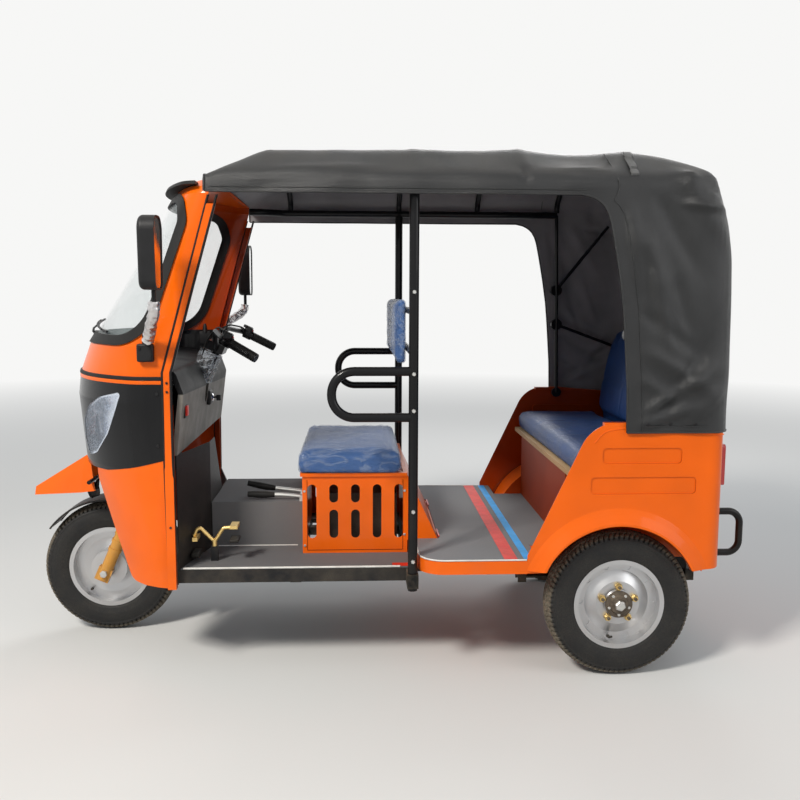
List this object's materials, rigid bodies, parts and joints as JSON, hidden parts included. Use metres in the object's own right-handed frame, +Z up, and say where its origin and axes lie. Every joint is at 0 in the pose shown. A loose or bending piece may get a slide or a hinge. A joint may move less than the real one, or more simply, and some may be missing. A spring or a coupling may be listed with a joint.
{
  "type": "auto rickshaw",
  "caption": "Three-wheeled passenger rickshaw with a curved cab, slotted driver's seat box, black tube frame, folding canopy and passenger bench.",
  "frame": {"origin": "on the ground, on the centre line, midway between the foremost and rearmost points", "axes": "+Z up, -X forward, the vehicle's left side at -Y"},
  "size_m": [2.738, 1.5208, 1.898],
  "materials": {
    "bench_base": "gloss orange paint",
    "bench_board": "bare plywood",
    "cab_pillars": "gloss black tube",
    "cab_shell": "gloss orange paint",
    "canopy": "black coated canopy cloth with a grey lining",
    "chassis_frame": "black chassis paint",
    "dash_panel": "grey moulded plastic",
    "driver_backrest": "blue cloth under clear film",
    "driver_cushion": "blue cloth under clear film",
    "engine_block": "plain casting",
    "foot_controls": "yellow zinc plate",
    "front_floor": "black paint",
    "front_fork": "black paint",
    "front_mat": "ribbed grey rubber",
    "front_mudguard": "black moulded guard",
    "front_rim": "silver painted steel wheel",
    "front_tyre": "black tyre",
    "front_wing": "gloss orange paint",
    "hand_levers": "plated steel with black grips",
    "handlebar": "black bar and rubber grips",
    "headlamp_bowls": "bright reflector",
    "headlamp_lenses": "clear lens",
    "horn": "black paint",
    "leaf_springs": "black spring steel",
    "leg_shields": "gloss orange paint",
    "mirror_glass": "mirror glass",
    "mirrors": "black plastic housings on black stalks",
    "nose_panel": "gloss black moulded panel",
    "rear_axle": "black painted castings",
    "rear_backrest": "dark blue cloth",
    "rear_body": "gloss orange paint",
    "rear_cushion": "blue cloth under clear film",
    "rear_floor": "gloss orange paint",
    "rear_hoops": "gloss black tube",
    "rear_left_rim": "silver painted steel wheel",
    "rear_left_tyre": "black tyre",
    "rear_mat": "grey rubber with a red and a blue stripe",
    "rear_right_rim": "silver painted steel wheel",
    "rear_right_tyre": "black tyre",
    "roof_frame": "gloss black tube",
    "screen_trim": "black rubber gasket and black sun lip",
    "seat_box": "gloss orange paint",
    "shock_absorbers": "gold paint",
    "tail_lamps": "red lens",
    "windscreen": "clear curved glass"
  },
  "bodies": {
    "chassis": {"bench_base": "bench_base", "bench_board": "bench_board", "cab_pillars": "cab_pillars", "cab_shell": "cab_shell", "canopy": "canopy", "chassis_frame": "chassis_frame", "dash_panel": "dash_panel", "driver_backrest": "driver_backrest", "driver_cushion": "driver_cushion", "engine_block": "engine_block", "foot_controls": "foot_controls", "front_floor": "front_floor", "front_mat": "front_mat", "front_wing": "front_wing", "hand_levers": "hand_levers", "headlamp_bowls": "headlamp_bowls", "headlamp_lenses": "headlamp_lenses", "horn": "horn", "leaf_springs": "leaf_springs", "leg_shields": "leg_shields", "mirror_glass": "mirror_glass", "mirrors": "mirrors", "nose_panel": "nose_panel", "rear_axle": "rear_axle", "rear_backrest": "rear_backrest", "rear_body": "rear_body", "rear_cushion": "rear_cushion", "rear_floor": "rear_floor", "rear_hoops": "rear_hoops", "rear_mat": "rear_mat", "roof_frame": "roof_frame", "screen_trim": "screen_trim", "seat_box": "seat_box", "tail_lamps": "tail_lamps", "windscreen": "windscreen"},
    "steering": {"front_fork": "front_fork", "shock_absorbers": "shock_absorbers", "handlebar": "handlebar", "front_mudguard": "front_mudguard"},
    "front_wheel": {"front_tyre": "front_tyre", "front_rim": "front_rim"},
    "rear_wheel_left": {"rear_left_tyre": "rear_left_tyre", "rear_left_rim": "rear_left_rim"},
    "rear_wheel_right": {"rear_right_tyre": "rear_right_tyre", "rear_right_rim": "rear_right_rim"}
  },
  "joints": [
    {"name": "steering_turn", "type": "hinge", "parent": "chassis", "child": "steering", "pos_m": [-0.83252, 0, 0.70597], "axis": [0.4067, 0, 0.9135], "range_deg": [-35, 35]},
    {"name": "front_wheel_spin", "type": "hinge", "parent": "steering", "child": "front_wheel", "pos_m": [-1.077, 0, 0.2675], "axis": [0, 1, 0], "continuous": true},
    {"name": "rear_wheel_left_spin", "type": "hinge", "parent": "chassis", "child": "rear_wheel_left", "pos_m": [0.8775, -0.5188, 0.2675], "axis": [0, 1, 0], "continuous": true},
    {"name": "rear_wheel_right_spin", "type": "hinge", "parent": "chassis", "child": "rear_wheel_right", "pos_m": [0.8775, 0.5188, 0.2675], "axis": [0, 1, 0], "continuous": true}
  ]
}
